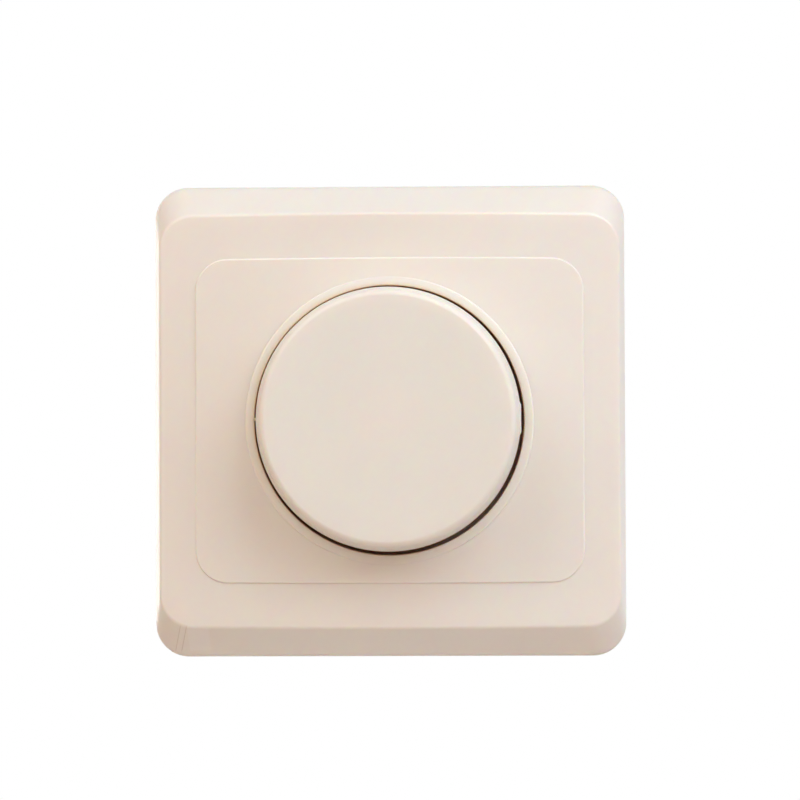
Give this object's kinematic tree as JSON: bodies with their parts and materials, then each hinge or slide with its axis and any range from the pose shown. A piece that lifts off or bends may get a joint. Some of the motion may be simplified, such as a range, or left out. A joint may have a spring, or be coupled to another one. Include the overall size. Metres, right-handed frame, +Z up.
{
  "type": "rotary dimmer switch",
  "caption": "Ivory push-and-turn rotary dimmer for a 60 mm wall box: square crowned cover plate, round knob in a collar, steel frame and claws.",
  "frame": {"origin": "on the wall surface, midway between the two box-screw slots, on the shaft's axis", "axes": "+Z up, +X to the right seen from the room, -Y out of the wall towards the room; the base lies at +Y in the wall box"},
  "size_m": [0.081, 0.043, 0.081],
  "materials": {
    "ivory_cover": "satin",
    "ivory_knob": "satin",
    "grey_moulding": "matte",
    "zinc_steel": "satin",
    "nickelled_brass": "satin",
    "spring_steel": "polished",
    "aluminium_shaft": "satin",
    "phenolic": "matte",
    "red_plastic": "gloss",
    "carbon": "matte",
    "board_laminate": "satin",
    "black_epoxy": "matte",
    "mica": "satin",
    "enamelled_copper": "gloss",
    "fuse_tube_glass": "gloss",
    "tinned_metal": "polished",
    "capacitor_case": "gloss",
    "capacitor_dip": "gloss",
    "resistor_lacquer": "gloss",
    "diode_glass": "gloss"
  },
  "bodies": {
    "dimmer_body": {"cover_plate": "ivory_cover", "support_frame": "zinc_steel", "base_moulding": "grey_moulding", "threaded_bush": "nickelled_brass", "frame_nut": "nickelled_brass", "cover_washer": "zinc_steel", "cover_nut": "nickelled_brass", "pot_case": "phenolic", "carbon_track": "carbon", "switch_case": "phenolic", "fixed_contacts": "nickelled_brass", "return_spring": "spring_steel", "frame_screws": "zinc_steel", "terminal_bars": "nickelled_brass", "circuit_board": "board_laminate", "triac": "black_epoxy", "triac_insulator": "mica", "triac_screw": "zinc_steel", "triac_nut": "zinc_steel", "choke_core": "black_epoxy", "choke_winding": "enamelled_copper", "fuse_glass": "fuse_tube_glass", "fuse_caps": "tinned_metal", "fuse_clips": "nickelled_brass", "suppressor_capacitor": "capacitor_case", "timing_capacitor": "capacitor_dip", "resistors": "resistor_lacquer", "trigger_diode": "diode_glass"},
    "push_plunger": {"switch_plunger": "red_plastic", "contact_blade": "nickelled_brass"},
    "knob_and_shaft": {"knob": "ivory_knob", "knob_clip": "spring_steel", "shaft": "aluminium_shaft"},
    "wiper": {"wiper_carrier": "phenolic"},
    "right_claw_body": {"right_claw": "zinc_steel"},
    "left_claw_body": {"left_claw": "zinc_steel"},
    "right_claw_screw_body": {"right_claw_screw": "zinc_steel"},
    "left_claw_screw_body": {"left_claw_screw": "zinc_steel"},
    "left_clamp_screw_body": {"left_clamp_screw": "zinc_steel"},
    "left_clamp_cage_body": {"left_clamp_cage": "nickelled_brass"},
    "middle_clamp_screw_body": {"middle_clamp_screw": "zinc_steel"},
    "middle_clamp_cage_body": {"middle_clamp_cage": "nickelled_brass"},
    "right_clamp_screw_body": {"right_clamp_screw": "zinc_steel"},
    "right_clamp_cage_body": {"right_clamp_cage": "nickelled_brass"}
  },
  "joints": [
    {"name": "knob_push", "type": "slide", "parent": "dimmer_body", "child": "push_plunger", "axis": [0, 1, 0], "range_m": [0, 0.0015], "stiffness_N_per_m": 1500, "springref_m": -0.001},
    {"name": "knob_turn", "type": "hinge", "parent": "push_plunger", "child": "knob_and_shaft", "pos_m": [0, 0, 0], "axis": [0, 1, 0], "range_deg": [-135, 135]},
    {"name": "wiper_turn", "type": "hinge", "parent": "dimmer_body", "child": "wiper", "pos_m": [0, 0, 0], "axis": [0, 1, 0], "range_deg": [-135, 135]},
    {"name": "right_claw_screw_turn", "type": "hinge", "parent": "dimmer_body", "child": "right_claw_screw_body", "pos_m": [0.0257, 0, 0.007], "axis": [0, 1, 0], "range_deg": [0, 360]},
    {"name": "right_claw_swing", "type": "hinge", "parent": "dimmer_body", "child": "right_claw_body", "pos_m": [0.0236, 0.0027, 0.007], "axis": [0, 0, -1], "range_deg": [0, 12]},
    {"name": "left_claw_screw_turn", "type": "hinge", "parent": "dimmer_body", "child": "left_claw_screw_body", "pos_m": [-0.0257, 0, -0.007], "axis": [0, 1, 0], "range_deg": [0, 360]},
    {"name": "left_claw_swing", "type": "hinge", "parent": "dimmer_body", "child": "left_claw_body", "pos_m": [-0.0236, 0.0027, -0.007], "axis": [0, 0, 1], "range_deg": [0, 12]},
    {"name": "left_clamp_screw_turn", "type": "hinge", "parent": "dimmer_body", "child": "left_clamp_screw_body", "pos_m": [-0.009, 0.01175, -0.0206], "axis": [0, 0, 1], "range_deg": [0, 1728]},
    {"name": "left_clamp_cage_rise", "type": "slide", "parent": "dimmer_body", "child": "left_clamp_cage_body", "axis": [0, 0, -1], "range_m": [0, 0.0024]},
    {"name": "middle_clamp_screw_turn", "type": "hinge", "parent": "dimmer_body", "child": "middle_clamp_screw_body", "pos_m": [0, 0.01175, -0.0206], "axis": [0, 0, 1], "range_deg": [0, 1728]},
    {"name": "middle_clamp_cage_rise", "type": "slide", "parent": "dimmer_body", "child": "middle_clamp_cage_body", "axis": [0, 0, -1], "range_m": [0, 0.0024]},
    {"name": "right_clamp_screw_turn", "type": "hinge", "parent": "dimmer_body", "child": "right_clamp_screw_body", "pos_m": [0.009, 0.01175, -0.0206], "axis": [0, 0, 1], "range_deg": [0, 1728]},
    {"name": "right_clamp_cage_rise", "type": "slide", "parent": "dimmer_body", "child": "right_clamp_cage_body", "axis": [0, 0, -1], "range_m": [0, 0.0024]}
  ],
  "couplings": [
    {"joint": "wiper_turn", "follows": "knob_turn", "ratio": 1},
    {"joint": "right_claw_swing", "follows": "right_claw_screw_turn", "ratio": 0.033333},
    {"joint": "left_claw_swing", "follows": "left_claw_screw_turn", "ratio": 0.033333},
    {"joint": "left_clamp_screw_turn", "follows": "left_clamp_cage_rise", "rad_per_m": 12566},
    {"joint": "middle_clamp_screw_turn", "follows": "middle_clamp_cage_rise", "rad_per_m": 12566},
    {"joint": "right_clamp_screw_turn", "follows": "right_clamp_cage_rise", "rad_per_m": 12566}
  ]
}
